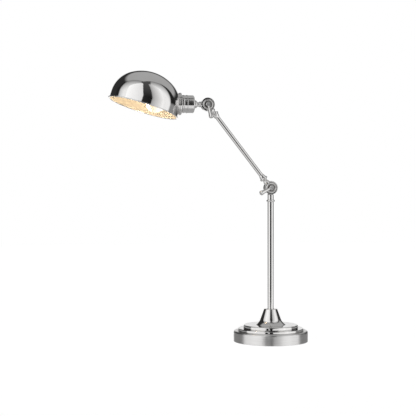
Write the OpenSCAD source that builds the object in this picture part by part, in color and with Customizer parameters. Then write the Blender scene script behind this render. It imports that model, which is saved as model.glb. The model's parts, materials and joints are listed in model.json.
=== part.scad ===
// Swing arm desk lamp: weighted round base, upright stem, one friction arm and a dome shade.
// Origin at the centre of the base's underside, +Z up. The arm reaches towards -X and the
// lever handles face -Y.

/* [Base] */
// Outer diameter of the base cover
base_d = 178; // [150:1:230]
// Top face of the base cover above the table
base_top = 26; // [22:1:40]
// Radius of the cover's rounded upper edge
base_edge_r = 4; // [1:0.5:8]
// Wall of the spun cover
base_wall = 1.5; // [1:0.1:2.5]
// Thickness of the felt pad
felt_t = 2; // [1:0.5:4]
// Thickness of the cast weight's disc
weight_t = 14.5; // [8:0.5:15]
// Diameter of the lower step plate
lower_step_d = 157; // [134:1:168]
// Thickness of the lower step plate
lower_step_t = 6; // [3:0.5:10]
// Diameter of the upper step plate
upper_step_d = 131; // [90:1:133]
// Thickness of the upper step plate
upper_step_t = 8; // [3:0.5:12]

/* [Flared collar] */
// Diameter across the foot of the collar
flare_foot_d = 72; // [60:1:84]
// Diameter of the cone where it meets its foot's flare
flare_cone_d = 59; // [46:1:59]
// Diameter at the rounded top lip
flare_top_d = 31; // [24:1:40]
// Height of the collar
flare_h = 38; // [26:1:60]
// Height of the curved flare at the foot
flare_foot_h = 12; // [6:1:16]
// Wall of the spun collar
flare_wall = 1.2; // [0.8:0.1:2]

/* [Stem] */
// Outer diameter of the stem tube
stem_d = 14.5; // [14:0.1:18]
// Wall of the stem tube
stem_wall = 1.2; // [0.8:0.1:1.3]
// Length of the stem tube above the step plates
stem_len = 294.5; // [180:0.5:420]
// Diameter of the bead at the top of the stem
stem_bead_d = 20.2; // [18:0.1:26]
// Height of the bead
stem_bead_h = 5.5; // [3:0.5:10]
// Outer diameter of the hollow nipple that clamps the stem to the base
nipple_d = 10; // [9:0.1:10]
// Wire hole through the nipples and necks
wire_bore_d = 6; // [5:0.1:6.4]
// Diameter of the wire inside the tubes
wire_d = 4.4; // [3:0.1:4.6]

/* [Arm] */
// Distance between the two knuckle pivots
arm_len = 250; // [150:1:340]
// Rest angle of the arm from upright
arm_tilt = 38; // [0:1:75]
// Outer diameter of the arm tube
arm_d = 10.6; // [10:0.1:14]
// Wall of the arm tube
arm_wall = 1; // [0.8:0.1:1.1]
// Diameter of the flange on each arm collar
arm_flange_d = 19; // [17:0.1:24]
// Thickness of that flange
arm_flange_t = 4.5; // [2:0.5:8]
// Length of each arm collar
arm_collar_len = 12.5; // [9:0.5:20]

/* [Knuckles] */
// Diameter of the knuckle discs
knuckle_d = 32.8; // [28:0.2:40]
// Thickness of one disc half at its rim
knuckle_rim_t = 6.8; // [5.5:0.1:10]
// Height of the raised ring on a disc half
knuckle_ring_t = 7.8; // [7:0.1:12]
// Outer diameter of the raised ring
knuckle_ring_d = 25.6; // [22:0.2:27]
// Diameter of the recess inside the raised ring
knuckle_recess_d = 18.2; // [15:0.2:20]
// Thickness of the floor of that recess
knuckle_floor_t = 6; // [4.5:0.1:6.6]
// Diameter of the round neck of a knuckle half
neck_d = 14.4; // [13:0.1:16]
// Length of a neck past the disc
neck_len = 8.5; // [6:0.5:14]
// Length of the neck under the lower knuckle
stem_neck_len = 11.5; // [6:0.5:20]
// Diameter of the pivot screws
screw_d = 6; // [5:0.1:6.4]

/* [Levers] */
// Length of a lever handle
lever_len = 36; // [24:1:50]
// Handle diameter beside its hub
lever_d1 = 4.4; // [3.6:0.1:5]
// Handle diameter at its free end
lever_d2 = 11.6; // [8:0.1:14]
// Lean of the handle away from the knuckle
lever_lean = 22; // [18:1:35]
// Rest angle of the elbow lever
elbow_lever_angle = -115; // [-160:5:-70]
// Rest angle of the head lever
head_lever_angle = 171; // [140:1:200]

/* [Socket] */
// Diameter of the barrel between the knuckle and the socket, at its wide end
barrel_d = 18.8; // [16:0.1:24]
// Length of the barrel
barrel_len = 8; // [5:0.5:16]
// Outer diameter of the socket's metal shell
socket_d = 42; // [40:0.5:50]
// Length of the rear cap
cap_len = 17; // [15:0.5:24]
// Length of the front shell up to its nose
shell_len = 12; // [8:0.5:20]
// Diameter of the bead where cap and shell meet
bead_d = 43.4; // [43:0.1:52]
// Outer diameter of the shell's nose, which passes through the shade
nose_d = 39; // [37:0.5:39.5]
// Length of the nose
nose_len = 21; // [18:0.5:28]
// Wall of the cap and the shell
socket_wall = 1.2; // [0.8:0.1:1.6]
// Diameter of the fitter ring
fitter_d = 53; // [48:0.5:60]
// Thickness of the fitter ring
fitter_t = 4.8; // [3:0.1:9]
// Thickness of the round nut inside the shade
shade_nut_t = 5; // [3:0.5:7]

/* [Shade] */
// Outer diameter of the dome
shade_d = 165; // [140:1:200]
// Height of the straight skirt under the dome's shoulder
skirt_h = 17; // [8:0.5:21]
// Radius of the dome's shoulder
shoulder_r = 65; // [50:1:68]
// Height of the whole dome above its rim
dome_h = 87; // [84:0.5:100]
// Wall of the shade
shade_wall = 1; // [0.8:0.1:1.6]
// Width of the flange round the rim
rim_lip = 3; // [2.4:0.1:8]
// Diameter of the rolled bead on the rim
rim_bead_d = 2.6; // [2:0.1:3.5]
// Tilt of the opening, front edge up
shade_tilt = 16.8; // [0:0.2:30]
// Height of the socket's axis above the rim, measured in the dome's middle
socket_rise = 11.5; // [8:0.1:16]

/* [Bulb] */
// Diameter of the bulb's globe
bulb_d = 42; // [30:1:56]
// Length of the glass past its screw cap
bulb_glass_len = 67; // [54:1:74]
// Diameter of the bulb's screw cap
bulb_cap_d = 25.8; // [25.4:0.1:26]

/* [Hidden] */
$fn = 64;

// Clearances and small fixed sizes
eps = 0.02;            // seated, glued or screwed faces
run = 0.06;            // radial clearance of a running fit
face_gap = 0.1;        // gap between faces that turn on each other
free_gap = 0.6;        // gap between pieces that pass each other
over = 1;              // how far a cutter runs past what it cuts

// Base
felt_r = base_d / 2 - base_wall - 1;
cover_foot_z = 0.5;
weight_r = base_d / 2 - base_wall - 3.5;
weight_top = base_top - base_wall;
weight_rim_w = 14;
washer_d = 24;
washer_t = 1.5;
clamp_nut_h = 4;
nipple_r = nipple_d / 2;
wire_bore_r = wire_bore_d / 2;
grommet_bore_r = 3.5;
grommet_neck_r = 5.5;
grommet_flange_r = 8;
grommet_flange_t = 1.9;
grommet_z = 12;
step1_top = base_top + lower_step_t;
step2_top = step1_top + upper_step_t;

// Stem
stem_r = stem_d / 2;
stem_bore_r = stem_r - stem_wall;
stem_top = step2_top + stem_len;
bead_top = stem_top + stem_bead_h;
bush_len = 14;
plug_len = 16;
spigot_r = nipple_r;
clip_t = 2.5;

// Knuckles: distances from the pivot
knuckle_r = knuckle_d / 2;
shoulder = knuckle_r + free_gap;
neck_end = shoulder + neck_len;
half_gap = 0.6;
elbow_z = bead_top + shoulder + stem_neck_len;
hub_d = 11;
hub_back = knuckle_floor_t + face_gap + 0.9;
hub_front = hub_back + 5.6;
screw_head_d = 8.4;
screw_head_t = 1.6;
nut_d = 12;
nut_t = 3.9;

// Arm
arm_r = arm_d / 2;
arm_bore_r = arm_r - arm_wall;
arm_seat = 2;
arm_plug_len = 9;
head_x = -arm_len * sin(arm_tilt);
head_z = elbow_z + arm_len * cos(arm_tilt);

// Head: distances from the head pivot along the socket's axis
barrel_z = neck_end;
cap_z = barrel_z + barrel_len + face_gap;
shell_z = cap_z + cap_len;
shoulder_z = shell_z + shell_len;
fitter_z = shoulder_z + 1.6;
nose_end = shoulder_z + nose_len;
seat_z = fitter_z + fitter_t;
socket_r = socket_d / 2;
nose_r = nose_d / 2;
liner_r = nose_r - socket_wall - eps;
liner_wall = 1;
porcelain_r = liner_r - liner_wall - eps;
porcelain_z = cap_z + 5;
porcelain_len = 18;
contact_z = porcelain_z + porcelain_len;
screw_shell_z = contact_z;
screw_shell_len = 21;
tip_z = contact_z + 1.4;
tip_len = 2.6;
bulb_cap_z = tip_z + tip_len;
bulb_cap_len = 19;
glass_z = bulb_cap_z + bulb_cap_len;
key_r = 2;
key_z = cap_z + 11;

// Shade: the dome touches the collar, its centre a little under the socket's axis
dome_r = shade_d / 2;
rim_r = dome_r + rim_lip;
rim_bead_r = rim_bead_d / 2;
collar_d = 50;
// the dome is two tangent arcs over a straight skirt: a shoulder and a flatter crown
shoulder_x = dome_r - shoulder_r;
crown_drop = dome_h - shoulder_r - skirt_h;
crown_r = (pow(shoulder_x, 2) + pow(crown_drop, 2)) / (2 * crown_drop) + shoulder_r;
crown_z = dome_h - crown_r;
crown_angle = atan2(shoulder_x, skirt_h - crown_z);
// distance from the dome's axis to its wall, level with a point this high above the rim's middle
function reach(rise, inset) =
    let (a = rise * sin(shade_tilt) + shoulder_x, b = rise * cos(shade_tilt) - skirt_h,
         p = a * cos(shade_tilt) - b * sin(shade_tilt))
    p + sqrt(p * p - a * a - b * b + pow(shoulder_r - inset, 2));
nose_sag = dome_r - sqrt(pow(dome_r, 2) - pow(nose_r, 2));
seat_gap = 0.8;
dome_s = seat_z + seat_gap + reach(socket_rise, 0) - nose_sag;
nut_r = nose_r + 2.6;
shade_nut_z = dome_s - reach(socket_rise + nut_r, shade_wall) + eps;
dome_x = head_x - dome_s;
dome_z = head_z - socket_rise;

// Colours
CHROME = [0.80, 0.80, 0.81];
NICKEL = [0.72, 0.71, 0.69];
BRASS = [0.80, 0.65, 0.34];
IRON = [0.30, 0.30, 0.31];
STEEL = [0.60, 0.60, 0.62];
DARK = [0.12, 0.12, 0.12];

module at_elbow() translate([0, 0, elbow_z]) children();
module at_head() translate([head_x, 0, head_z]) children();
// local +Z runs up the arm from the elbow
module along_arm() at_elbow() rotate([0, -arm_tilt, 0]) children();
// local +Z runs down the arm from the head
module down_arm() at_head() rotate([0, 180 - arm_tilt, 0]) children();
// local +Z runs from the head pivot through the socket
module along_head() at_head() rotate([0, -90, 0]) children();
module at_dome() translate([dome_x, 0, dome_z]) rotate([0, shade_tilt, 0]) children();

module ring(outer_r, inner_r, h, z = 0) {
    translate([0, 0, z]) difference() {
        cylinder(r = outer_r, h = h);
        translate([0, 0, -over]) cylinder(r = inner_r, h = h + 2 * over);
    }
}

// ---- Base ----

module felt_pad() color("darkgreen") cylinder(r = felt_r, h = felt_t);

module cover_section(r, top, edge_r) {
    square([r - edge_r, top]);
    square([r, top - edge_r]);
    translate([r - edge_r, top - edge_r]) circle(r = edge_r);
}

module base_cover() color(NICKEL) difference() {
    rotate_extrude() intersection() {
        difference() {
            cover_section(base_d / 2, base_top, base_edge_r);
            cover_section(base_d / 2 - base_wall, base_top - base_wall, max(base_edge_r - base_wall, 0.2));
        }
        translate([nipple_r + 0.3, cover_foot_z]) square([base_d, base_top]);
    }
    translate([0, base_d / 2 - base_wall - over, grommet_z]) rotate([-90, 0, 0])
        cylinder(r = grommet_neck_r + eps, h = base_wall + 2 * over);
}

module base_weight() color(IRON) difference() {
    union() {
        translate([0, 0, weight_top - weight_t]) cylinder(r = weight_r, h = weight_t);
        ring(weight_r, weight_r - weight_rim_w, weight_top - weight_t - felt_t + eps, felt_t);
    }
    translate([0, 0, -over]) cylinder(r = nipple_r + 0.3, h = base_top + over);
    translate([-wire_d, 0, felt_t - over]) cube([2 * wire_d, base_d / 2, grommet_z + wire_d + over - felt_t]);
}

module lower_step_plate() color(CHROME) ring(lower_step_d / 2, nipple_r + 0.3, lower_step_t, base_top);
module upper_step_plate() color(CHROME) ring(upper_step_d / 2, nipple_r + 0.3, upper_step_t, step1_top);

function cone_r(h) = flare_cone_d / 2 + (flare_top_d - flare_cone_d) / 2 * h / flare_h;
function foot_r(h) = h < flare_foot_h ? (flare_foot_d - flare_cone_d) / 2 * pow(1 - h / flare_foot_h, 2) : 0;
module flare_section(inset) {
    steps = 24;
    lip = 2;
    top = flare_h - inset;
    polygon(concat(
        [[0, 0]],
        [for (i = [0:steps]) let (h = (flare_h - lip) * i / steps) [cone_r(h) + foot_r(h) - inset, h]],
        [for (a = [15:15:90]) [cone_r(flare_h - lip) - lip + lip * cos(a) - inset, top - lip + lip * sin(a)]],
        [[0, top]]
    ));
}
module flared_collar() color(CHROME) translate([0, 0, step2_top]) difference() {
    rotate_extrude() difference() {
        flare_section(0);
        translate([0, -eps]) flare_section(flare_wall);
    }
    translate([0, 0, flare_h - 2 * flare_wall - over]) cylinder(r = stem_r + eps, h = 4 * flare_wall + over);
}

washer_z = weight_top - weight_t - washer_t;
module clamp_washer() color(STEEL) ring(washer_d / 2, nipple_r + 0.2, washer_t, washer_z);
module clamp_nut() color(STEEL) difference() {
    translate([0, 0, washer_z - clamp_nut_h]) cylinder(r = nipple_r + 3.5, h = clamp_nut_h, $fn = 6);
    translate([0, 0, washer_z - clamp_nut_h - over]) cylinder(r = nipple_r + eps, h = clamp_nut_h + 2 * over);
}
nipple_foot = washer_z - clamp_nut_h - 0.5;
module stem_nipple() color(BRASS)
    ring(nipple_r, wire_bore_r, step2_top + bush_len - nipple_foot, nipple_foot);

module cord_grommet() color(DARK) translate([0, base_d / 2 - base_wall, grommet_z]) rotate([-90, 0, 0])
    difference() {
        union() {
            translate([0, 0, -grommet_flange_t - 0.4]) cylinder(r = grommet_flange_r, h = grommet_flange_t);
            translate([0, 0, -0.5]) cylinder(r = grommet_neck_r, h = base_wall + 0.6);
            translate([0, 0, base_wall + 0.05]) cylinder(r = grommet_flange_r, h = grommet_flange_t);
        }
        translate([0, 0, -10]) cylinder(r = grommet_bore_r, h = 20);
    }

// ---- Stem ----

module stem_tube() color(CHROME) ring(stem_r, stem_bore_r, stem_len, step2_top);
module stem_bush() color(BRASS) ring(stem_bore_r - eps, nipple_r + eps, bush_len, step2_top);
module stem_collar() color(CHROME) difference() {
    union() {
        translate([0, 0, stem_top - plug_len]) cylinder(r = stem_bore_r - eps, h = plug_len + eps);
        translate([0, 0, stem_top]) rotate_extrude() {
            square([stem_bead_d / 2 - 1.4, stem_bead_h]);
            translate([0, 1.4]) square([stem_bead_d / 2, stem_bead_h - 2.8]);
            for (z = [1.4, stem_bead_h - 1.4]) translate([stem_bead_d / 2 - 1.4, z]) circle(r = 1.4);
        }
    }
    translate([0, 0, stem_top - plug_len - over]) cylinder(r = spigot_r + run, h = plug_len + stem_bead_h + 2 * over);
}
module stem_lead() color(DARK) translate([0, 0, nipple_foot + 1])
    cylinder(r = wire_d / 2, h = bead_top - nipple_foot - 1);

// ---- Knuckles ----

// One disc half: mating face towards the joint plane, raised ring and recess outside.
// side is 1 for the half behind the joint plane and -1 for the half in front of it.
// Its neck runs along local +Z, and a spigot on the end of the neck enters the next piece.
module knuckle_half(side, neck, end_r, end_len, bore_r) {
    block = neck_d + 2;
    chamfer = 0.8;
    tip = shoulder + neck;
    difference() {
        union() {
            rotate([-90 * side, 0, 0]) rotate_extrude() polygon([
                [screw_d / 2 + run, half_gap], [knuckle_r, half_gap],
                [knuckle_r, knuckle_rim_t - chamfer], [knuckle_r - chamfer, knuckle_rim_t],
                [knuckle_ring_d / 2 + 0.6, knuckle_rim_t], [knuckle_ring_d / 2, knuckle_ring_t],
                [knuckle_recess_d / 2, knuckle_ring_t], [knuckle_recess_d / 2, knuckle_floor_t],
                [screw_d / 2 + run, knuckle_floor_t]
            ]);
            difference() {
                translate([0, 0, knuckle_recess_d / 2 + 1])
                    cylinder(r = neck_d / 2, h = tip - knuckle_recess_d / 2 - 1);
                translate([0, side * (half_gap - block / 2), shoulder / 2]) cube([block, block, shoulder], center = true);
            }
            translate([0, 0, tip - eps]) cylinder(r = end_r, h = end_len + eps);
        }
        translate([0, 0, shoulder + 2]) cylinder(r = bore_r, h = neck + end_len);
    }
}

module friction_washer() rotate([90, 0, 0]) ring(knuckle_recess_d / 2 + 2, screw_d / 2 + 0.2, 2 * half_gap - face_gap, -half_gap);
module back_nut() rotate([-90, 0, 0]) difference() {
    translate([0, 0, knuckle_floor_t]) cylinder(r = nut_d / 2, h = nut_t, $fn = 6);
    translate([0, 0, knuckle_floor_t - over]) cylinder(r = screw_d / 2 + run, h = nut_t + 2 * over);
}
module pivot_screw() rotate([90, 0, 0]) difference() {
    union() {
        translate([0, 0, -knuckle_floor_t - nut_t - 0.6]) cylinder(r = screw_d / 2, h = knuckle_floor_t + nut_t + hub_front + 0.6);
        translate([0, 0, hub_front]) cylinder(r = screw_head_d / 2, h = screw_head_t);
    }
    translate([-0.6, -screw_head_d, hub_front + 0.8]) cube([1.2, 2 * screw_head_d, screw_head_t]);
}
module spring_washer() rotate([90, 0, 0])
    ring(hub_d / 2 - 0.4, screw_d / 2 + 0.2, hub_back - knuckle_floor_t - face_gap, knuckle_floor_t + face_gap);
module lever(angle) rotate([0, angle, 0]) difference() {
    union() {
        translate([0, -hub_back, 0]) rotate([90, 0, 0]) cylinder(r = hub_d / 2, h = hub_front - hub_back);
        translate([0, -hub_back - 1.8, 0]) rotate([lever_lean, 0, 0]) translate([0, 0, screw_d / 2 + 0.5])
            cylinder(r1 = lever_d1 / 2, r2 = lever_d2 / 2, h = lever_len - screw_d / 2 - 0.5);
    }
    rotate([90, 0, 0]) cylinder(r = screw_d / 2 + eps, h = hub_front + 4);
}

module elbow_stem_half() color(CHROME) at_elbow() rotate([0, 180, 0])
    knuckle_half(1, stem_neck_len, spigot_r, stem_bead_h + plug_len + 0.3 + clip_t, wire_bore_r);
module swivel_clip() color(STEEL)
    ring(stem_bore_r - 0.35, spigot_r + eps, clip_t, stem_top - plug_len - face_gap - clip_t);
module elbow_washer() color(DARK) at_elbow() friction_washer();
module elbow_nut() color(CHROME) at_elbow() back_nut();
module elbow_arm_half() color(CHROME) along_arm() knuckle_half(-1, neck_len, arm_bore_r - eps, arm_plug_len, wire_bore_r);
module elbow_lever() color(CHROME) at_elbow() lever(elbow_lever_angle);
module elbow_screw() color(STEEL) at_elbow() pivot_screw();
module elbow_spring() color(STEEL) at_elbow() spring_washer();

// ---- Arm ----

module arm_collar() translate([0, 0, neck_end]) difference() {
    rotate_extrude() {
        translate([0, 1]) square([arm_flange_d / 2, arm_flange_t - 2]);
        square([arm_flange_d / 2 - 1, arm_flange_t]);
        for (z = [1, arm_flange_t - 1]) translate([arm_flange_d / 2 - 1, z]) circle(r = 1);
        polygon([[0, arm_flange_t - 1], [arm_r + 2, arm_flange_t - 1], [arm_r + 2, arm_flange_t + 3],
                 [arm_r + 0.6, arm_collar_len], [0, arm_collar_len]]);
    }
    translate([0, 0, arm_seat]) cylinder(r = arm_r + eps, h = arm_collar_len);
    translate([0, 0, -over]) cylinder(r = arm_bore_r, h = arm_collar_len);
}
module arm_lower_collar() color(CHROME) along_arm() arm_collar();
module arm_upper_collar() color(CHROME) down_arm() arm_collar();
tube_from = neck_end + arm_seat;
module arm_tube() color(CHROME) along_arm() ring(arm_r, arm_bore_r, arm_len - 2 * tube_from, tube_from);
module arm_lead() color(DARK) along_arm() translate([0, 0, neck_end]) cylinder(r = wire_d / 2, h = arm_len - 2 * neck_end);

// ---- Head ----

module head_arm_half() color(CHROME) down_arm() knuckle_half(1, neck_len, arm_bore_r - eps, arm_plug_len, wire_bore_r);
module head_washer() color(DARK) at_head() friction_washer();
module head_nut() color(CHROME) at_head() back_nut();
module head_socket_half() color(CHROME) along_head() knuckle_half(-1, neck_len, nipple_r, 0, nipple_r + eps);
module head_lever() color(CHROME) at_head() lever(head_lever_angle);
module head_screw() color(STEEL) at_head() pivot_screw();
module head_spring() color(STEEL) at_head() spring_washer();

module socket_neck() color(CHROME) along_head() translate([0, 0, barrel_z]) difference() {
    rotate_extrude() polygon([
        [0, 0], [neck_d / 2 + 1, 0], [barrel_d / 2, barrel_len * 0.6], [barrel_d / 2, barrel_len - 0.6],
        [barrel_d / 2 - 0.6, barrel_len], [0, barrel_len]
    ]);
    translate([0, 0, -over]) cylinder(r = nipple_r + eps, h = barrel_len + 2 * over);
}
neck_nut_z = cap_z + socket_wall + face_gap;
neck_nut_t = 2.6;
module neck_nipple() color(BRASS) along_head()
    ring(nipple_r, wire_bore_r, neck_nut_z + neck_nut_t + 0.3 - shoulder - 2, shoulder + 2);
module neck_nut() color(STEEL) along_head() translate([0, 0, neck_nut_z]) difference() {
    cylinder(r = nipple_r + 2, h = neck_nut_t, $fn = 6);
    translate([0, 0, -over]) cylinder(r = nipple_r + eps, h = neck_nut_t + 2 * over);
}

module cap_section(r, len, edge_r) {
    translate([0, edge_r]) square([r, len - edge_r]);
    square([r - edge_r, len]);
    translate([r - edge_r, edge_r]) circle(r = edge_r);
}
module socket_cap() color(NICKEL) along_head() difference() {
    translate([0, 0, cap_z]) rotate_extrude() difference() {
        union() {
            cap_section(socket_r, cap_len, 3);
            translate([socket_r - 0.6, cap_len - 1.1]) square([bead_d / 2 - socket_r + 0.6, 1.1]);
        }
        translate([0, socket_wall]) cap_section(socket_r - socket_wall, cap_len, 2);
        square([nipple_r + run, 3 * socket_wall]);
    }
    translate([0, 0, key_z]) rotate([-90, 0, 0]) cylinder(r = key_r + run, h = socket_d);
}
module socket_shell() color(NICKEL) along_head() translate([0, 0, shell_z]) rotate_extrude() difference() {
    union() {
        square([socket_r, shell_len]);
        square([bead_d / 2, 1.1]);
        square([nose_r, shell_len + nose_len]);
    }
    translate([0, -over]) square([nose_r - socket_wall, shell_len + nose_len + 2 * over]);
}
module socket_liner() color([0.85, 0.82, 0.72]) along_head() difference() {
    ring(liner_r, liner_r - liner_wall, nose_end - porcelain_z - 1, porcelain_z);
    translate([0, 0, key_z]) rotate([-90, 0, 0]) cylinder(r = key_r + 0.8, h = socket_d);
}
terminal_y = 11;
module socket_body() color("white") along_head() difference() {
    translate([0, 0, porcelain_z]) cylinder(r = porcelain_r, h = porcelain_len);
    translate([0, 7, key_z]) rotate([-90, 0, 0]) cylinder(r = key_r + 0.6, h = socket_d);
    for (x = [-terminal_y, terminal_y]) translate([x, 0, porcelain_z - over]) cylinder(r = 1.3, h = 6 + over);
    translate([0, 0, contact_z - 2]) cylinder(r = 3.5, h = 2 + over);
}
module terminal_screws() color(BRASS) along_head() for (x = [-terminal_y, terminal_y]) translate([x, 0, 0]) {
    translate([0, 0, porcelain_z - 1.6]) cylinder(r = 2.4, h = 1.6);
    translate([0, 0, porcelain_z - over]) cylinder(r = 1.3 - eps, h = 5.5);
}
module screw_shell() color(BRASS) along_head()
    ring(bulb_cap_d / 2 + 0.8, bulb_cap_d / 2 + 0.3, screw_shell_len, screw_shell_z);
module centre_contact() color(BRASS) along_head() translate([0, 0, contact_z - 2]) cylinder(r = 3.5 - eps, h = 3.3);
module switch_key() color(CHROME) along_head() translate([0, 0, key_z]) rotate([-90, 0, 0]) {
    translate([0, 0, 8]) cylinder(r = key_r, h = socket_r + 4);
    difference() {
        translate([0, 0, socket_r + 14]) rotate([90, 0, 0]) translate([0, 0, -1.4]) cylinder(r = 7, h = 2.8);
        translate([-10, -5, socket_r + 16]) cube([20, 10, 10]);
    }
    translate([0, 0, socket_r + 5]) cylinder(r1 = 4, r2 = 3, h = 5);
}

module fitter_ring() color(CHROME) along_head() translate([0, 0, fitter_z]) rotate_extrude() difference() {
    union() {
        translate([0, 1.2]) square([fitter_d / 2, fitter_t - 2.4]);
        square([fitter_d / 2 - 1.2, fitter_t]);
        for (z = [1.2, fitter_t - 1.2]) translate([fitter_d / 2 - 1.2, z]) circle(r = 1.2);
    }
    translate([0, -over]) square([nose_r + eps, fitter_t + 2 * over]);
}

// ---- Shade ----

// section of the dome with its outline moved in by inset, from foot upwards
module dome_section(inset, foot) {
    step = 4;
    polygon(concat(
        [[0, foot], [dome_r - inset, foot]],
        [for (a = [0:step:90 - crown_angle]) [shoulder_x, skirt_h] + (shoulder_r - inset) * [cos(a), sin(a)]],
        [for (a = [crown_angle:-step:0.1]) [0, crown_z] + (crown_r - inset) * [sin(a), cos(a)]],
        [[0, dome_h - inset]]
    ));
}

module shade() color(CHROME) difference() {
    at_dome() rotate_extrude() difference() {
        union() {
            dome_section(0, rim_bead_r - shade_wall / 2);
            translate([0, rim_bead_r - shade_wall / 2]) square([rim_r - rim_bead_r, shade_wall]);
            translate([rim_r - rim_bead_r, rim_bead_r]) circle(r = rim_bead_r);
        }
        dome_section(shade_wall, -over);
    }
    along_head() translate([0, 0, shoulder_z]) cylinder(r = nose_r + 0.4, h = nose_len + 10);
}
module shade_collar() color(CHROME) difference() {
    along_head() ring(collar_d / 2, nose_r + eps, 12, seat_z);
    at_dome() rotate_extrude($fn = 256) dome_section(-eps, 0);
}
module shade_nut() color(CHROME) along_head() ring(nut_r, nose_r + eps, shade_nut_t, shade_nut_z);

// ---- Bulb ----

globe_r = bulb_d / 2;
module bulb_section(inset) {
    neck = bulb_cap_d / 2 - 0.5 - inset;
    middle = bulb_glass_len - globe_r;
    polygon([[0, 0], [neck, 0], [neck, 10], [neck + (globe_r - inset - neck) * 0.62, middle - 13], [0, middle]]);
    translate([0, middle]) intersection() {
        circle(r = globe_r - inset, $fn = 96);
        translate([0, -globe_r]) square([globe_r, 2 * globe_r]);
    }
}
module bulb_glass() color([1, 0.95, 0.8, 0.6]) along_head() translate([0, 0, glass_z]) rotate_extrude() difference() {
    bulb_section(0);
    translate([0, -over]) square([bulb_cap_d / 2 - 1.3, over + eps]);
    bulb_section(0.8);
}
module bulb_cap() color(BRASS) along_head() ring(bulb_cap_d / 2, bulb_cap_d / 2 - 0.5, bulb_cap_len, bulb_cap_z);
module bulb_tip() color(DARK) along_head() translate([0, 0, tip_z])
    cylinder(r1 = 4, r2 = bulb_cap_d / 2, h = tip_len);

felt_pad();
base_cover();
base_weight();
lower_step_plate();
upper_step_plate();
flared_collar();
stem_nipple();
clamp_washer();
clamp_nut();
cord_grommet();
stem_bush();
stem_tube();
stem_collar();
stem_lead();
elbow_stem_half();
swivel_clip();
elbow_washer();
elbow_nut();
elbow_arm_half();
elbow_lever();
elbow_screw();
elbow_spring();
arm_lower_collar();
arm_tube();
arm_upper_collar();
arm_lead();
head_arm_half();
head_washer();
head_nut();
head_socket_half();
head_lever();
head_screw();
head_spring();
socket_neck();
neck_nipple();
neck_nut();
socket_cap();
socket_shell();
socket_liner();
socket_body();
terminal_screws();
screw_shell();
centre_contact();
switch_key();
fitter_ring();
shade_collar();
shade();
shade_nut();
bulb_glass();
bulb_cap();
bulb_tip();
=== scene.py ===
# %% [markdown]
# # A swing arm desk lamp, dressed for its portrait
# The CAD model is loaded first and stays fixed. It says where every piece of the lamp is and how
# large it is. This lesson then turns, cuts and polishes the pieces that show, gives each hidden
# piece its real finish, and ends with the camera and the studio.

# %% Load the fixed frame
import json
import math
import bpy
from mathutils import Matrix, Vector

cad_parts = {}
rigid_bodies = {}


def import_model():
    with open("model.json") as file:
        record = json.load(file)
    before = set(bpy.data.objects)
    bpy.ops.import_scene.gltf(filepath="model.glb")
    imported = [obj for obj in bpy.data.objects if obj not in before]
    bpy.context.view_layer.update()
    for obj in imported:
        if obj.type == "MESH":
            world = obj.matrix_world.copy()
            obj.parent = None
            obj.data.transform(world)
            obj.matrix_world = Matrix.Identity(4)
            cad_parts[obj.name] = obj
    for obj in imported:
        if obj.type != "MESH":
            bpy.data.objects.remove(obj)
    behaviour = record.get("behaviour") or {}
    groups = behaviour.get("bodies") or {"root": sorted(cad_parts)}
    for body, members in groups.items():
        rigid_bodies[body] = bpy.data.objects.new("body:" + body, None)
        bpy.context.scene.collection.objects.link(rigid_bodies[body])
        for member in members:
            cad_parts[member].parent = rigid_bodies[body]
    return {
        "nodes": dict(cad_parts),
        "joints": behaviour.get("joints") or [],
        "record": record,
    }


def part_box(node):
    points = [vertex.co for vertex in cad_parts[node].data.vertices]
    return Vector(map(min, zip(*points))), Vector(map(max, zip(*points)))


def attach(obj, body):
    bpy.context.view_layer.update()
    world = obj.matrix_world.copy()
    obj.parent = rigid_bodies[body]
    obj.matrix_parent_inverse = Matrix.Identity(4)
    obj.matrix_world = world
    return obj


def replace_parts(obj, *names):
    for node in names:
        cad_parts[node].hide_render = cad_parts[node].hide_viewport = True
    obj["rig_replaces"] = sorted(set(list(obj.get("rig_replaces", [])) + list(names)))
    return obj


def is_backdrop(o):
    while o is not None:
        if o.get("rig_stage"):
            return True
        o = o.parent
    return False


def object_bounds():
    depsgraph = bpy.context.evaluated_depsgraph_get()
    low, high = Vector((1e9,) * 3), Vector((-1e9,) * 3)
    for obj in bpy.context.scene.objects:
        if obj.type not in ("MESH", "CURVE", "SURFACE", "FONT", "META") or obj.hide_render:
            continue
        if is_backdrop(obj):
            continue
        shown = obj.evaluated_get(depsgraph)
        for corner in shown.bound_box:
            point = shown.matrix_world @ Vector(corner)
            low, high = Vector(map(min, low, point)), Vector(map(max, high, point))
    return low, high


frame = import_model()
cad_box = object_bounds()
print("CAD nodes:", len(frame["nodes"]), "box:", [round(v, 3) for corner in cad_box for v in corner])

# %% [markdown]
# ## Places and directions
# Everything on this lamp hangs on four places: the foot of the stem, the lower pivot, the upper
# pivot and the rim of the shade. The joints give the pivots. The arm points from one pivot to the
# other, and the socket points along the axis that the shade rolls about.

# %% Places and directions
MM = 0.001
UP = Vector((0, 0, 1))
BACK = Vector((0, 1, 0))
FRONT = -BACK
joints = {joint["name"]: joint for joint in frame["joints"]}
FOOT = Vector((0, 0, 0))
ELBOW = Vector(joints["elbow_tilt"]["pos_m"])
HEAD = Vector(joints["head_tilt"]["pos_m"])
ARM = (HEAD - ELBOW).normalized()
OUT = Vector(joints["shade_roll"]["axis"])
SHADE_TILT = math.radians(16.8)
SHADE_UP = Vector((math.sin(SHADE_TILT), 0, math.cos(SHADE_TILT)))
SHADE_ACROSS = BACK.cross(SHADE_UP)
print("arm length in mm:", round((HEAD - ELBOW).length / MM, 1))


# %% [markdown]
# A turned piece needs three numbers from its CAD node: where it starts along its axis, where it
# ends, and how far it reaches from the axis. Reading them from the node's own points keeps every
# new piece the size of the part it stands for.

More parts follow.
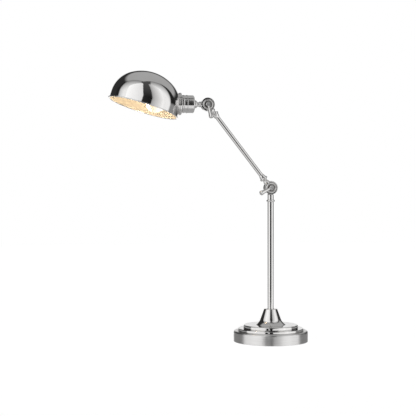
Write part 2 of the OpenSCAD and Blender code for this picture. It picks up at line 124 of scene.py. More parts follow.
# %% Measure a CAD node along an axis
def measured(node, origin, axis):
    """Start, end and largest radius of a CAD node along an axis, in millimetres."""
    points = [vertex.co - origin for vertex in frame["nodes"][node].data.vertices]
    along = [point.dot(axis) for point in points]
    radii = [(point - axis * step).length for point, step in zip(points, along)]
    return min(along) / MM, max(along) / MM, max(radii) / MM


print("stem tube:", [round(v, 2) for v in measured("stem_tube", FOOT, UP)])

# %% [markdown]
# ## The lathe
# Nearly every visible piece of this lamp is turned or spun on a lathe in the factory, so the main
# tool here is a lathe too. One point is pushed round the piece's outline with extrude, and the
# spin operator sweeps that outline into a closed body. A bevel modifier then breaks the sharp
# edges, because a polished edge shows up only through the thin highlight it catches.


# %% Choose one piece
def chosen(piece):
    """Select this piece alone and make it active."""
    bpy.ops.object.select_all(action="DESELECT")
    piece.select_set(True)
    bpy.context.view_layer.objects.active = piece
    return piece


def applied(piece, kind, **settings):
    """Add a modifier to a piece, set it and apply it."""
    chosen(piece)
    bpy.ops.object.modifier_add(type=kind)
    modifier = piece.modifiers[-1]
    for key, value in settings.items():
        setattr(modifier, key, value)
    bpy.ops.object.modifier_apply(modifier=modifier.name)
    return piece


# %% Break the edges and smooth the faces
def softened(piece, width, segments=3):
    """Round a piece's sharp edges to a width in millimetres, and shade it smooth."""
    if width:
        applied(piece, "BEVEL", width=width * MM, segments=segments, limit_method="ANGLE",
                angle_limit=math.radians(35), use_clamp_overlap=True)
    chosen(piece)
    bpy.ops.object.shade_smooth_by_angle(angle=math.radians(40))
    applied(piece, "WEIGHTED_NORMAL", keep_sharp=True, weight=80)
    return piece


# %% Arcs for an outline
def arc(across, height, radius, start, end, steps=8):
    """Points on an arc round (across, height); angles in degrees from the outward direction."""
    angles = [math.radians(start + (end - start) * step / steps) for step in range(steps + 1)]
    return [(across + radius * math.cos(a), height + radius * math.sin(a)) for a in angles]


# %% Turn an outline into a body
def turned(name, outline, steps=96, edge=0.4, segments=3):
    """Spin a closed outline of (radius, height) corners, in millimetres, round Z."""
    bpy.ops.object.select_all(action="DESELECT")
    bpy.ops.mesh.primitive_plane_add(size=MM)
    piece = bpy.context.object
    piece.name = piece.data.name = name
    bpy.ops.object.mode_set(mode="EDIT")
    bpy.ops.mesh.select_all(action="SELECT")
    bpy.ops.mesh.merge(type="CENTER")
    here = (0.0, 0.0)
    for count, corner in enumerate(outline + outline[:1]):
        move = ((corner[0] - here[0]) * MM, 0, (corner[1] - here[1]) * MM)
        if count == 0:
            bpy.ops.transform.translate(value=move)
        else:
            bpy.ops.mesh.extrude_region_move(TRANSFORM_OT_translate={"value": move})
        here = corner
    bpy.ops.mesh.select_all(action="SELECT")
    bpy.ops.mesh.remove_doubles(threshold=MM / 1000)
    bpy.ops.mesh.spin(steps=steps, angle=math.tau, center=(0, 0, 0), axis=(0, 0, 1))
    bpy.ops.mesh.select_all(action="SELECT")
    bpy.ops.mesh.remove_doubles(threshold=MM / 1000)
    bpy.ops.mesh.dissolve_degenerate(threshold=MM / 10000)
    bpy.ops.mesh.normals_make_consistent(inside=False)
    bpy.ops.object.mode_set(mode="OBJECT")
    return softened(piece, edge, segments)


# %% Stand a turned piece on its axis
def stand(piece, origin, axis):
    """Turn a piece made along Z so that it runs along axis from origin, and apply the move."""
    level = BACK if abs(axis.y) < 0.5 else UP
    side = level.cross(axis).normalized()
    turn = Matrix((side, axis.cross(side), axis)).transposed().to_4x4()
    piece.matrix_world = Matrix.Translation(origin) @ turn
    chosen(piece)
    bpy.ops.object.transform_apply(location=True, rotation=True, scale=True)
    return piece


# %% [markdown]
# Some pieces are two shapes brazed into one, such as a knuckle disc and its neck. A Boolean
# modifier joins or cuts them, and the helper piece is then thrown away.

# %% Join or cut with a second piece
def combined(piece, helper, operation):
    """Join helper to piece, or cut piece with it, and remove the helper."""
    applied(piece, "BOOLEAN", operation=operation, object=helper, solver="EXACT")
    bpy.data.objects.remove(helper)
    return piece


# %% [markdown]
# ## Writing a finish as sums
# A finish is a small calculation: take a noise, stretch it, mix two greys with it. Written with
# Python's own operators it stays readable, so one class wraps a node's output and adds a Math
# node for each operator, and one method adds any other node.

# %% A node output that can be calculated with
class Wire:
    """One output of a shader node."""

    def __init__(self, finish, socket):
        self.finish = finish
        self.socket = socket

    def math(self, operation, *values):
        return self.finish.add("Math", {"operation": operation}, list(values))

    def __add__(self, other):
        return self.math("ADD", self, other)

    __radd__ = __add__

    def __sub__(self, other):
        return self.math("SUBTRACT", self, other)

    def __rsub__(self, other):
        return self.math("SUBTRACT", other, self)

    def __mul__(self, other):
        return self.math("MULTIPLY", self, other)

    __rmul__ = __mul__

    def __truediv__(self, other):
        return self.math("DIVIDE", self, other)

    def __pow__(self, other):
        return self.math("POWER", self, other)

    def between(self, low, high):
        """0 below low, 1 above high, and a straight ramp from one to the other."""
        return self.finish.add("MapRange", {}, {"Value": self, "From Min": low, "From Max": high})

    def band(self, low, high, fade):
        """1 from low to high, and 0 outside. Both ends ramp up over the length of the fade."""
        return self.between(low, low + fade) * (1 - self.between(high, high + fade))


# %% A finish under construction
class Finish:
    """A new material with one Principled shader, and the calculations that feed it."""

    def __init__(self, name, **constants):
        self.material = bpy.data.materials.new(name)
        self.material.use_nodes = True
        self.tree = self.material.node_tree
        self.shader = self.tree.nodes["Principled BSDF"]
        self.set(**constants)

    def add(self, kind, settings, values, output=0):
        """Add a node: settings first, then its sockets' values or links. Returns one output."""
        node = self.tree.nodes.new("ShaderNode" + kind)
        for key, value in settings.items():
            setattr(node, key, value)
        pairs = enumerate(values) if isinstance(values, list) else values.items()
        for key, value in pairs:
            self.feed(node.inputs[key], value)
        return Wire(self, node.outputs[output])

    def feed(self, socket, value):
        if isinstance(value, Wire):
            self.tree.links.new(value.socket, socket)
        else:
            socket.default_value = value

    def set(self, **values):
        """Set or link the shader's sockets; an underscore in a name stands for a space."""
        for key, value in values.items():
            self.feed(self.shader.inputs[key.replace("_", " ")], value)
        return self

    def place(self, centre=(0, 0, 0)):
        """X, Y and Z of the surface from a centre, in the lamp's own coordinates."""
        position = self.add("TexCoord", {}, {}, output="Object")
        moved = self.add("VectorMath", {"operation": "SUBTRACT"}, [position, tuple(centre)])
        split = self.add("SeparateXYZ", {}, {"Vector": moved})
        return moved, [Wire(self, split.socket.node.outputs[axis]) for axis in "XYZ"]

    def noise(self, vector, scale, detail=3.0, roughness=0.5):
        return self.add("TexNoise", {}, {"Vector": vector, "Scale": scale, "Detail": detail,
                                         "Roughness": roughness})

    def mix(self, factor, first, second):
        """Blend two colours."""
        values = {0: factor, 6: first, 7: second}
        return self.add("Mix", {"data_type": "RGBA"}, values, output=2)

    def bump(self, height, strength, distance):
        self.set(Normal=self.add("Bump", {}, {"Strength": strength, "Distance": distance,
                                              "Height": height}))
        return self


def grey(value, warmth=0.0):
    """A grey that leans to yellow by warmth."""
    return (value * (1 + warmth), value, value * (1 - warmth), 1.0)


# %% [markdown]
# ## Polished nickel
# The stem, arm, knuckles and step plates are polished and plated. A perfect mirror looks like
# computer chrome, so the roughness drifts with faint cloth marks, the grey drifts a little where
# the plating is thicker, and very fine hairlines bend the reflections by a hair.

# %% Polished nickel
def polished_finish(name):
    finish = Finish(name, Metallic=1.0)
    position, _ = finish.place()
    cloth = finish.noise(position, 42.0, detail=4.0)
    hairline = finish.noise(position, 900.0, detail=2.0)
    tone = finish.mix(cloth.between(0.35, 0.7), grey(0.83, 0.006), grey(0.83 * 0.95, 0.016))
    finish.set(Base_Color=tone)
    finish.set(Roughness=0.06 + cloth.between(0.35, 0.75) * 0.05 + hairline * 0.02)
    finish.bump(hairline, 0.04, 0.0001)
    return finish.material


polished = polished_finish("polished_nickel")
print("made", polished.name)


# %% [markdown]
# ## Brushed nickel
# The base cover and the socket shell are brushed while they turn on the lathe, so the grain runs
# round them in rings. The noise is fed with the distance from the axis and the height along it,
# both stretched hugely, and hardly at all with the way round.

# %% Brushed nickel
def brushed_finish(name, centre, axis, value, roughness, depth, stretch=0.0):
    finish = Finish(name, Metallic=1.0, Anisotropic=stretch, Anisotropic_Rotation=0.25)
    position, parts = finish.place(centre)
    along = parts["XYZ".index(axis)]
    first, second = [part for part in parts if part is not along]
    radius = (first * first + second * second) ** 0.5
    rings = finish.add("CombineXYZ", {}, [radius * 1400.0 + first / radius * 1.6, along * 1400.0,
                                          second / radius * 1.6])
    grain = finish.noise(rings, 1.0, detail=4.0, roughness=0.62)
    cloud = finish.noise(position, 26.0, detail=3.0)
    streak = grain.between(0.3, 0.72)
    tone = finish.mix(streak, grey(value * 0.8, 0.012), grey(value, 0.006))
    finish.set(Base_Color=tone)
    finish.set(Roughness=roughness + streak * 0.1 + cloud.between(0.3, 0.7) * 0.05)
    finish.bump(grain, depth, 0.0002)
    return finish.material


brushed_base = brushed_finish("brushed_nickel_base", FOOT, "Z", 0.93, 0.27, 0.32, stretch=0.75)
brushed_socket = brushed_finish("brushed_nickel_socket", HEAD, "X", 0.88, 0.08, 0.05)
print("made", brushed_base.name, brushed_socket.name)

# %% [markdown]
# ## Handing a piece over
# Each finished piece gets its material, rides on the body that carries it, and names the CAD node it
# stands for. One helper does all three, so none is forgotten.

# %% Hand a piece over
BODIES = frame["record"]["behaviour"]["bodies"]
BODY_OF = {node: body for body, nodes in BODIES.items() for node in nodes}
SLOT_OF = {row["node"]: row["material_slot"] for row in frame["record"]["subparts"]}


def hand_over(piece, node, material):
    """Dress a piece, and let it stand for a CAD node and move with its body."""
    piece.data.materials.clear()
    piece.data.materials.append(material)
    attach(piece, BODY_OF[node])
    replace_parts(piece, node)
    sizes = [max(axis) - min(axis) for axis in zip(*[vertex.co for vertex in piece.data.vertices])]
    print(piece.name, [round(v / MM, 1) for v in sizes], "mm,", len(piece.data.polygons), "faces")


# %% [markdown]
# ## The base
# The cover is spun from sheet: a drum with a generous rounded upper edge. It is an outline of an
# outer skin and an inner skin, with the edge as an arc, so the sheet keeps its wall all round. A
# hole is drilled through its back for the cord's grommet.

# %% Base cover
low, top, radius = measured("base_cover", FOOT, UP)
WALL, HOLE, EDGE = 1.5, 5.3, 4.0
skin = [(radius, low)] + arc(radius - EDGE, top - EDGE, EDGE, 0, 90, 10) + [(HOLE, top)]
lining = [(HOLE, top - WALL)] + arc(radius - EDGE, top - EDGE, EDGE - WALL, 90, 0, 6)
lining += [(radius - WALL, low)]
cover = turned("brushed_base_cover", skin + lining, steps=144, edge=0.3)
ENTRY_R, ENTRY_REACH = 5.52, 8
inner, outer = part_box("cord_grommet")
entry = (Vector(inner) + Vector(outer)) / 2
drill_outline = [(0, -ENTRY_REACH), (ENTRY_R, -ENTRY_REACH), (ENTRY_R, ENTRY_REACH), (0, ENTRY_REACH)]
drill = turned("cord_drill", drill_outline, steps=48, edge=0)
combined(cover, stand(drill, entry, BACK), "DIFFERENCE")
softened(cover, 0)
hand_over(cover, "base_cover", brushed_base)

# %% [markdown]
# Two polished plates step up from the cover. Each is a thick disc with a rounded rim, and a hair
# of a groove is left where one plate sits on the next, which is what makes the steps read.

# %% Step plates
for node, crown in (("lower_step_plate", 1.6), ("upper_step_plate", 2.2)):
    low, top, radius = measured(node, FOOT, UP)
    rim = arc(radius - crown, top - crown, crown, 0, 90, 6)
    groove = [(radius - 0.9, low), (radius - 0.5, low + 0.5), (radius, low + 0.9)]
    plate_outline = [(HOLE, low)] + groove + rim + [(HOLE, top)]
    plate = turned("polished_" + node, plate_outline, steps=144, edge=0.15)
    hand_over(plate, node, polished)

# %% [markdown]
# The collar is a trumpet: a straight cone whose foot flares out to meet the plate, and whose lip
# rolls over at the top. The flare is a square curve, added to the cone only near the foot.

# %% Flared collar
low, top, foot = measured("flared_collar", FOOT, UP)
CONE, LIP, FLARE_HEIGHT, SHEET, ROLL = 29.5, 15.5, 12.0, 1.2, 2.0
height = top - low


def flare(step):
    """Radius of the collar's outside at a height above its foot."""
    cone = CONE + (LIP - CONE) * step / height
    return cone + (foot - CONE) * max(0.0, 1 - step / FLARE_HEIGHT) ** 2


rise = height - ROLL
steps = [rise * (count / 30) ** 1.4 for count in range(31)]
outside = [(flare(step), low + step) for step in steps]
lip = arc(flare(rise) - ROLL, low + rise, ROLL, 12, 90, 6)
bore = measured("stem_tube", FOOT, UP)[2] + 0.05
inside = [(bore, top), (bore, top - SHEET)]
inside += [(flare(step) - SHEET, low + step) for step in reversed(steps)]
collar = turned("polished_flared_collar", outside + lip + inside, steps=128, edge=0.12)
hand_over(collar, "flared_collar", polished)


# %% [markdown]
# ## Tubes and rings
# The stem and the arm are plain tubes, and a tube is an outline with four corners. The rings that
# finish their ends are short turned pieces with fully rounded rims.

# %% A tube
def tube(name, node, origin, axis, wall, material, steps=64):
    low, top, radius = measured(node, origin, axis)
    outline = [(radius - wall, low), (radius, low), (radius, top), (radius - wall, top)]
    hand_over(stand(turned(name, outline, steps, edge=0.25), origin, axis), node, material)


tube("polished_stem_tube", "stem_tube", FOOT, UP, 1.2, polished)
tube("polished_arm_tube", "arm_tube", ELBOW, ARM, 1.0, polished)

# %% Stem bead
low, top, radius = measured("stem_collar", FOOT, UP)
PLUG, BORE, BEAD = 6.03, 5.1, 5.5
ring = arc(radius - BEAD / 2, top - BEAD / 2, BEAD / 2, -90, 90, 12)
plug = [(BORE, low), (PLUG, low), (PLUG, top - BEAD)]
bead = turned("polished_stem_bead", plug + ring + [(BORE, top)], steps=80, edge=0.15)
hand_over(bead, "stem_collar", polished)

# %% [markdown]
# Each end of the arm wears a flanged collar: a rounded flange against the knuckle's neck, and a
# sleeve that tapers down to the tube. Both come from one function, because they are the same part
# in the factory too.

# %% Arm collars
def arm_collar(node, origin, axis):
    low, top, radius = measured(node, origin, axis)
    sleeve = measured("arm_tube", ELBOW, ARM)[2]
    round_off = 1.6
    flange = arc(radius - round_off, low + round_off, round_off, -90, 0, 5)
    flange += arc(radius - round_off, low + 2.9, round_off, 0, 90, 5)
    neck = [(sleeve + 2.2, low + 4.7), (sleeve + 2.0, low + 7.5), (sleeve + 0.7, top)]
    socket = [(sleeve, top), (sleeve, low + 2.0), (sleeve - 1, low + 2.0)]
    outline = [(sleeve - 1, low)] + flange + neck + socket
    piece = stand(turned("polished_" + node, outline, steps=72, edge=0.2), origin, axis)
    hand_over(piece, node, polished)


arm_collar("arm_lower_collar", ELBOW, ARM)
arm_collar("arm_upper_collar", HEAD, -ARM)

# %% [markdown]
# ## The friction knuckles
# Each knuckle is a pair of discs that grip face to face. A disc has a rounded edge, a raised ring
# with a full-round crest, and a sunk floor where the lever's hub sits. Its neck reaches out to the
# next tube. These are their sizes in millimetres; depths are measured from the joint's plane.

# %% Knuckle sizes
GAP, RIM_DEEP, RING_DEEP, FLOOR_DEEP = 0.6, 6.8, 7.8, 6.0
RING, RECESS, SCREW = 12.8, 9.1, 3.06
SHOULDER, NECK, WIRE = 17.0, 7.2, 3.0
print("ring", RING - RECESS, "mm wide, its crest", RING_DEEP - RIM_DEEP, "mm proud")


# %% [markdown]
# The sunk floor and the corner outside the ring are painted dark as shade, and are made rougher there.
# The finish finds both by their distance from the pivot and their depth.

# %% Nickel with painted shade in the recess
def knuckle_finish(name, pivot):
    finish = Finish(name, Metallic=1.0)
    position, (x, y, z) = finish.place(pivot)
    radius = (x * x + z * z) ** 0.5
    depth = finish.add("Math", {"operation": "ABSOLUTE"}, [y])
    inside = 1 - radius.between((RECESS - 0.3) * MM, (RECESS + 0.1) * MM)
    recess = inside * depth.band((FLOOR_DEEP - 0.8) * MM, (FLOOR_DEEP + 0.2) * MM, 0.4 * MM)
    corner = radius.band(RING * MM, (RING + 0.8) * MM, 0.2 * MM)
    corner = corner * depth.between((FLOOR_DEEP - 0.2) * MM, FLOOR_DEEP * MM)
    # Painted shade: the recess floor and the corner outside the ring are painted near black and made
    # rougher.
    painted_shade_and_satin = recess * 0.75 + corner * 0.5
    cloth = finish.noise(position, 60.0, detail=4.0)
    bright = finish.mix(cloth.between(0.35, 0.7), grey(0.83, 0.006), grey(0.78, 0.016))
    finish.set(Base_Color=finish.mix(painted_shade_and_satin, bright, grey(0.16, 0.03)))
    finish.set(Roughness=0.07 + cloth.between(0.35, 0.75) * 0.05 + painted_shade_and_satin * 0.3)
    finish.bump(finish.noise(position, 900.0, detail=2.0), 0.04, 0.0001)
    return finish.material


elbow_nickel = knuckle_finish("elbow_nickel", ELBOW)
head_nickel = knuckle_finish("head_nickel", HEAD)
print("made", elbow_nickel.name, head_nickel.name)


# %% [markdown]
# Beside the other disc only the half of the neck behind the joint's plane is left, so that the two
# halves turn past each other. Bisect makes that cut before the neck joins the disc.

# %% A neck with one half cut away
def half_neck(name, side, profile):
    """A turned neck along Z; up to the shoulder only the half on one side of Y stays."""
    full = turned(name, profile, steps=64, edge=0)
    root = RECESS + 1.5
    reach, within = SHOULDER + 0.3, NECK - 0.02
    half = turned(name + "_half", [(0, root), (within, root), (within, reach), (0, reach)],
                  steps=64, edge=0)
    chosen(half)
    bpy.ops.object.mode_set(mode="EDIT")
    bpy.ops.mesh.select_all(action="SELECT")
    bpy.ops.mesh.bisect(plane_co=(0, side * GAP * MM, 0), plane_no=(0, side, 0), use_fill=True,
                        clear_inner=True)
    bpy.ops.mesh.select_all(action="SELECT")
    bpy.ops.mesh.normals_make_consistent(inside=False)
    bpy.ops.object.mode_set(mode="OBJECT")
    return combined(full, half, "UNION")


# %% [markdown]
# The three kinds of neck differ only in their profile. The one under the lower knuckle is a plain
# column, the arm's two are waisted like a candlestick, and the one before the socket swells into
# a bead. Each ends in the plain spigot that plugs into the next piece.

# %% Neck profiles
def spigot(tip, radius, end, bore):
    """The hidden plug past the neck's tip, and the wire's bore back through it."""
    return [(radius, tip), (radius, end), (bore, end), (bore, SHOULDER + 2), (0, SHOULDER + 2)]


def column_neck(tip, plug, end, bore):
    return [(0, SHOULDER), (NECK, SHOULDER), (NECK, tip)] + spigot(tip, plug, end, bore)


def waisted_neck(tip, plug, end, bore):
    waist = arc(NECK + 0.6, (SHOULDER + tip) / 2 + 0.8, 2.7, 235, 145, 8)
    tail = [(NECK - 0.4, tip)] + spigot(tip, plug, end, bore)
    return [(0, SHOULDER), (NECK, SHOULDER)] + waist + tail


def beaded_neck(tip, plug, end, bore):
    bead = arc(NECK - 2.6, SHOULDER + 2.3, 2.3, -90, 75, 8)
    thin = 5.35
    tail = [(thin, SHOULDER + 4.9), (thin, tip)] + spigot(tip, plug, end, bore)
    return [(0, SHOULDER)] + bead + tail


# %% One knuckle half
def knuckle_half(node, pivot, side, axis, neck, tip, plug, bore):
    """side is 1 behind the joint's plane and -1 in front of it; axis is the way the neck points."""
    end = measured(node, pivot, axis)[1]
    radius = max(abs(v) for v in measured(node, pivot, BACK.cross(axis))[:2])
    crest = (RING - RECESS) / 2
    outline = [(SCREW, GAP), (radius, GAP)] + arc(radius - 0.9, RIM_DEEP - 0.9, 0.9, 0, 90, 5)
    outline += [(RING + 1.0, RIM_DEEP), (RING + 0.3, RIM_DEEP - 0.6)]
    outline += arc(RECESS + crest, RING_DEEP - crest, crest, 40, 140, 8)
    outline += [(RECESS, RING_DEEP - crest), (RECESS, FLOOR_DEEP), (SCREW, FLOOR_DEEP)]
    disc = stand(turned("polished_" + node, outline, steps=96, edge=0), pivot, BACK * side)
    arm = stand(half_neck(node + "_neck", side, neck(tip, plug, end, bore)), pivot, axis)
    piece = softened(combined(disc, arm, "UNION"), 0.25, 2)
    hand_over(piece, node, elbow_nickel if pivot is ELBOW else head_nickel)


neck_tip = measured("arm_lower_collar", ELBOW, ARM)[0]
arm_plug = measured("arm_tube", ELBOW, ARM)[2] - 1.0
column_tip = ELBOW.z / MM - measured("stem_collar", FOOT, UP)[1]
knuckle_half("elbow_stem_half", ELBOW, 1, -UP, column_neck, column_tip, 5.0, WIRE)
knuckle_half("elbow_arm_half", ELBOW, -1, ARM, waisted_neck, neck_tip, arm_plug, WIRE)
knuckle_half("head_arm_half", HEAD, 1, -ARM, waisted_neck, neck_tip, arm_plug, WIRE)
knuckle_half("head_socket_half", HEAD, -1, OUT, beaded_neck, neck_tip, 5.2, 5.02)

# %% [markdown]
# ## The levers
# The handle that tightens a knuckle is a slim tapered stalk, thicker and rounded at its free end,
# that leans away from the joint so that fingers can get behind it. It grows out of a short round
# hub. The stalk is turned on its own, leaned, and joined to the hub.

# %% Lever handles
LEAN = math.radians(22)
HUB, HUB_FROM, HUB_TO, HUB_BORE, HUB_EDGE = 5.5, 7.0, 12.6, 3.02, 1.2


def lever(node, pivot, angle):
    """angle turns the handle about the pivot from straight up, in degrees."""
    leaned = UP * math.cos(LEAN) + FRONT * math.sin(LEAN)
    way = (Matrix.Rotation(math.radians(angle), 3, "Y") @ leaned).normalized()
    root = pivot + FRONT * (HUB_FROM + 1.8) * MM
    hub_outline = [(HUB_BORE, HUB_FROM), (HUB, HUB_FROM), (HUB, HUB_TO - HUB_EDGE)]
    hub_outline += [(HUB - HUB_EDGE, HUB_TO), (HUB_BORE, HUB_TO)]
    hub = stand(turned("polished_" + node, hub_outline, steps=64, edge=0), pivot, FRONT)
    shank = [(0, 3.5), (2.4, 3.5), (3.3, 12), (4.4, 21), (5.3, 30)]
    grip = arc(3.0, 33.2, 2.8, 10, 80, 7)
    stalk = turned(node + "_stalk", shank + grip + [(0, 36.0)], steps=48, edge=0)
    stand(stalk, root, way)
    piece = softened(combined(hub, stalk, "UNION"), 0.3, 2)
    hand_over(piece, node, polished)


lever("elbow_lever", ELBOW, -115)
lever("head_lever", HEAD, 171)

# %% [markdown]
# ## The socket
# Behind the shade sits a metal-shell lamp holder. Its rear cap is a cup with a rounded edge, its
# front shell slides over the cap's mouth with a small bead, and a barrel carries both. The wide
# ring in front screws down on the nose and clamps the shade.

# %% Barrel
low, top, radius = measured("socket_neck", HEAD, OUT)
belly = arc(radius - 4.2, low + 4.2, 4.2, -75, 55, 12)
tail = [(radius - 1.2, top - 0.6), (radius - 1.2, top), (5.02, top)]
barrel_outline = [(5.02, low), (6.0, low)] + belly + tail
barrel = stand(turned("polished_socket_barrel", barrel_outline, steps=72, edge=0.2), HEAD, OUT)
hand_over(barrel, "socket_neck", polished)

# %% Socket cap
low, top, bead_radius = measured("socket_cap", HEAD, OUT)
SHELL, TIN, CAP_EDGE = 21.0, 1.2, 3.0
CAP_BORE = 5.1
outer = [(CAP_BORE, low), (SHELL - CAP_EDGE, low)]
outer += arc(SHELL - CAP_EDGE, low + CAP_EDGE, CAP_EDGE, -90, 0, 8)
bead_line = [(SHELL, top - 1.4), (bead_radius, top - 0.9), (bead_radius, top)]
inner = [(SHELL - TIN, top), (SHELL - TIN, low + CAP_EDGE)]
inner += [(SHELL - CAP_EDGE, low + TIN), (CAP_BORE, low + TIN)]
cap = stand(turned("brushed_socket_cap", outer + bead_line + inner, steps=96, edge=0.15), HEAD, OUT)
hand_over(cap, "socket_cap", brushed_socket)

# %% [markdown]
# The nose of the shell carries a screw thread for the fitter ring and the round nut inside the
# shade. A real thread is a shallow zigzag, and at this size a row of rings reads the same, so the
# outline simply goes up and down in a loop.

# %% Socket shell with its threaded nose
low, top, bead_radius = measured("socket_shell", HEAD, OUT)
shoulder = measured("fitter_ring", HEAD, OUT)[0] - 1.6
NOSE, NOSE_WALL, PITCH, THREAD_DEEP = 19.5, 1.2, 1.5, 0.45
thread = []
step = shoulder + 0.6
while step < top - PITCH:
    thread += [(NOSE - THREAD_DEEP, step), (NOSE, step + PITCH / 2)]
    step += PITCH
shell_outline = [(NOSE - NOSE_WALL, low), (bead_radius, low), (bead_radius, low + 0.9)]
shell_outline += [(SHELL, low + 1.4), (SHELL, shoulder - 5.2)]
shell_outline += arc(SHELL - 0.6, shoulder - 3.9, 1.3, -60, 60, 6)
shell_outline += [(SHELL, shoulder - 2.6), (SHELL, shoulder - 0.6), (SHELL - 0.6, shoulder)]
shell_outline += thread + [(NOSE - THREAD_DEEP, top), (NOSE - NOSE_WALL, top)]
shell = stand(turned("brushed_socket_shell", shell_outline, steps=96, edge=0.1), HEAD, OUT)
hand_over(shell, "socket_shell", brushed_socket)

# %% Fitter ring and inner nut
low, top, radius = measured("fitter_ring", HEAD, OUT)
rim = arc(radius - 1.3, low + 1.3, 1.3, -90, 0, 5) + arc(radius - 1.3, top - 1.3, 1.3, 0, 90, 5)
HOLD = NOSE + 0.05
fitter = turned("polished_fitter_ring", [(HOLD, low)] + rim + [(HOLD, top)], steps=96, edge=0.15)
hand_over(stand(fitter, HEAD, OUT), "fitter_ring", polished)

low, top, radius = measured("shade_nut", HEAD, OUT)
nut_rim = arc(radius - 0.8, top - 0.8, 0.8, 0, 90, 4)
nut_outline = [(HOLD, low), (radius, low)] + nut_rim + [(HOLD, top)]
nut = turned("polished_shade_nut", nut_outline, steps=96, edge=0.15)
hand_over(stand(nut, HEAD, OUT), "shade_nut", polished)

# %% [markdown]
# ## The shade
# The dome is spun from one sheet: a straight skirt, a round shoulder and a flatter crown, with a
# flange rolled round the rim. Two arcs that touch without a corner make the outline, drawn once
# for the outside and once, a wall's thickness in, for the inside.

# %% The dome's outline
rim_low, crown_top, _ = measured("shade", FOOT, SHADE_UP)
near, far, _ = measured("shade", FOOT, SHADE_ACROSS)
SHADE_FOOT = (SHADE_UP * rim_low + SHADE_ACROSS * (near + far) / 2) * MM
RIM_LIP, SKIN, BEAD_R, SKIRT, SHOULDER_R = 3.0, 1.0, 1.3, 17.0, 65.0
rim_radius = (far - near) / 2
dome_radius = rim_radius - RIM_LIP
dome_height = crown_top - rim_low
across = dome_radius - SHOULDER_R
drop = dome_height - SHOULDER_R - SKIRT
crown_radius = (across**2 + drop**2) / (2 * drop) + SHOULDER_R
crown_angle = math.degrees(math.atan2(across, SKIRT - dome_height + crown_radius))


def dome(inset):
    """The dome's outline from the skirt to the crown, moved in by inset."""
    shoulder_arc = arc(across, SKIRT, SHOULDER_R - inset, 0, 90 - crown_angle, 26)
    crown_arc = arc(0, dome_height - crown_radius, crown_radius - inset, 90 - crown_angle, 90, 16)
    return shoulder_arc + crown_arc[1:-1] + [(0, dome_height - inset)]


print("dome radius", round(dome_radius, 1), "height", round(dome_height, 1), "foot", SHADE_FOOT)

# %% Spin the shade and cut the socket's hole
lip = [(dome_radius + 0.1, BEAD_R + 1.6), (dome_radius + 0.5, BEAD_R + 0.9)]
roll = arc(rim_radius - BEAD_R, BEAD_R, BEAD_R, 100, -150, 12)
under = [(dome_radius - SKIN, BEAD_R - 0.5)]
shade_outline = under + list(reversed(roll)) + list(reversed(lip)) + dome(0) + list(reversed(dome(SKIN)))
shade = turned("spun_shade", shade_outline, steps=192, edge=0)
stand(shade, SHADE_FOOT, SHADE_UP)
CUT_R, CUT_FROM, CUT_TO = NOSE + 0.4, 60, 100
cutter_outline = [(0, CUT_FROM), (CUT_R, CUT_FROM), (CUT_R, CUT_TO), (0, CUT_TO)]
cutter = turned("shade_cutter", cutter_outline, steps=96, edge=0)
combined(shade, stand(cutter, HEAD, OUT), "DIFFERENCE")
softened(shade, 0)

# %% [markdown]
# The shade is nickel outside and baked cream enamel inside, and both are one sheet. The finish
# finds the inside by its distance from the dome's own arcs: nearer than half the wall is inside.
# The enamel has a soft orange-peel skin, and the nickel the same cloth marks as the stem.

# %% Nickel outside, enamel inside
def nearer(distance, limit, fade):
    """1 where a distance is less than the limit, and 0 beyond it."""
    return 1 - distance.between(limit - fade, limit + fade)


def shade_finish():
    finish = Finish("shade_nickel_and_enamel")
    position, parts = finish.place(SHADE_FOOT)
    x, y, z = parts
    height = x * SHADE_UP.x + z * SHADE_UP.z
    span = x * SHADE_ACROSS.x + z * SHADE_ACROSS.z
    radius = (span * span + y * y) ** 0.5
    middle = SKIN / 2
    over = radius - across * MM
    tall = height - SKIRT * MM
    shoulder = (over * over + tall * tall) ** 0.5
    rise = height - (dome_height - crown_radius) * MM
    crown = (radius * radius + rise * rise) ** 0.5
    fine = 0.05 * MM
    in_skirt = nearer(radius, (dome_radius - middle) * MM, fine)
    in_arc = nearer(shoulder, (SHOULDER_R - middle) * MM, fine)
    in_crown = nearer(crown, (crown_radius - middle) * MM, fine)
    low_part = nearer(tall, 0, fine)
    cap_edge = math.radians(crown_angle)
    high_part = (rise * math.tan(cap_edge) - radius).between(-fine, fine)
    arc_part = (1 - low_part) * (1 - high_part)
    inside = in_skirt * low_part + in_arc * arc_part + in_crown * high_part
    rim = height.between(0.0009, 0.0011)
    enamel = inside * rim
    cloth = finish.noise(position, 34.0, detail=4.0)
    peel = finish.noise(position, 420.0, detail=2.0)
    nickel = finish.mix(cloth.between(0.35, 0.7), grey(0.84, 0.004), grey(0.80, 0.014))
    cream = finish.mix(cloth.between(0.3, 0.7), (0.90, 0.83, 0.70, 1), (0.87, 0.79, 0.66, 1))
    finish.set(Base_Color=finish.mix(enamel, nickel, cream), Metallic=1 - enamel)
    plated = 0.05 + cloth.between(0.4, 0.8) * 0.05
    finish.set(Roughness=(1 - enamel) * plated + enamel * (0.34 + peel * 0.1))
    finish.bump(peel * enamel, 0.12, 0.0002)
    return finish.material


hand_over(shade, "shade", shade_finish())

# %% [markdown]
# A small seat stands between the ring and the dome. Its front follows the dome, so it is turned
# too long and then cut off with a copy of the dome's outside.

# %% Shade seat
low, top, radius = measured("shade_collar", HEAD, OUT)
SEAT_LONG = 12
seat_outline = [(HOLD, low), (radius - 0.8, low), (radius, low + 0.8)]
seat_outline += [(radius, low + SEAT_LONG), (HOLD, low + SEAT_LONG)]
seat = stand(turned("polished_shade_seat", seat_outline, steps=96, edge=0), HEAD, OUT)
CLEAR = 0.02
core = turned("dome_core", [(0, 0), (dome_radius + CLEAR, 0)] + dome(-CLEAR), steps=192, edge=0)
combined(seat, stand(core, SHADE_FOOT, SHADE_UP), "DIFFERENCE")
softened(seat, 0)
hand_over(seat, "shade_collar", polished)

